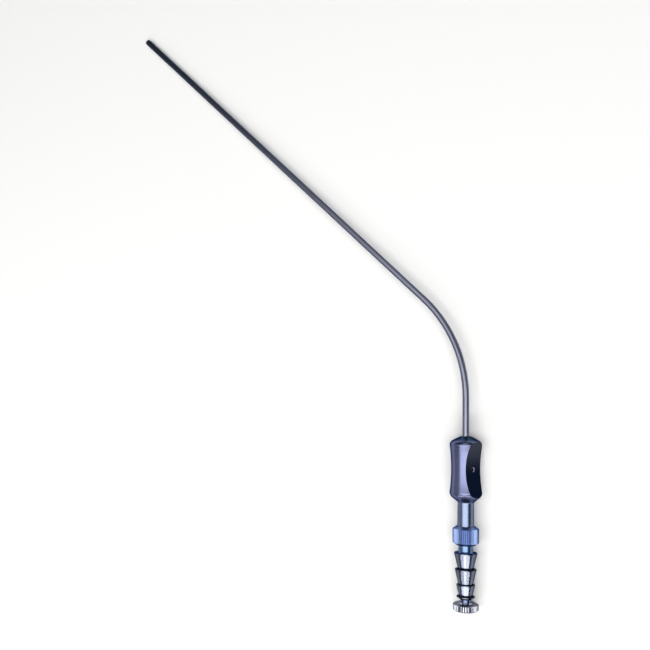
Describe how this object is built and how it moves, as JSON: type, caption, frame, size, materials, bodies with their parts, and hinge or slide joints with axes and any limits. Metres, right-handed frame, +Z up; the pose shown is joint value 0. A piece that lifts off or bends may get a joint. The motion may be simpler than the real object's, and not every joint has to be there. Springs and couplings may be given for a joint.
{
  "type": "frazier suction tube",
  "caption": "Bent steel suction tube with an hourglass thumb grip and finger vent, a barbed screw-on hose end and a stylet with a fluted knob.",
  "frame": {"origin": "centre of the bounding box, on the surface that the tube lies on", "axes": "+Y along the handle's axis from the knob towards the grip, +Z up from the surface; the tube bends towards -X"},
  "size_m": [0.1452, 0.2265, 0.0113],
  "materials": {
    "tube_steel": "satin blued stainless steel",
    "grip_steel": "satin blued stainless steel",
    "connector_steel": "satin blued stainless steel",
    "knob_steel": "satin stainless steel",
    "wire_steel": "drawn stainless wire"
  },
  "bodies": {
    "handle": {"suction_tube": "tube_steel", "thumb_grip": "grip_steel"},
    "connector": {"hose_connector": "connector_steel"},
    "stylet": {"stylet_knob": "knob_steel", "stylet_wire": "wire_steel"}
  },
  "joints": [
    {"name": "connector_screw", "type": "hinge", "parent": "handle", "child": "connector", "pos_m": [0.06696, -0.08469, 0.00565], "axis": [0, 1, 0], "range_deg": [0, 2700]},
    {"name": "stylet_slide", "type": "slide", "parent": "handle", "child": "stylet", "axis": [0, -1, 0], "range_m": [0, 0.28], "deforming": ["stylet_wire"]}
  ]
}
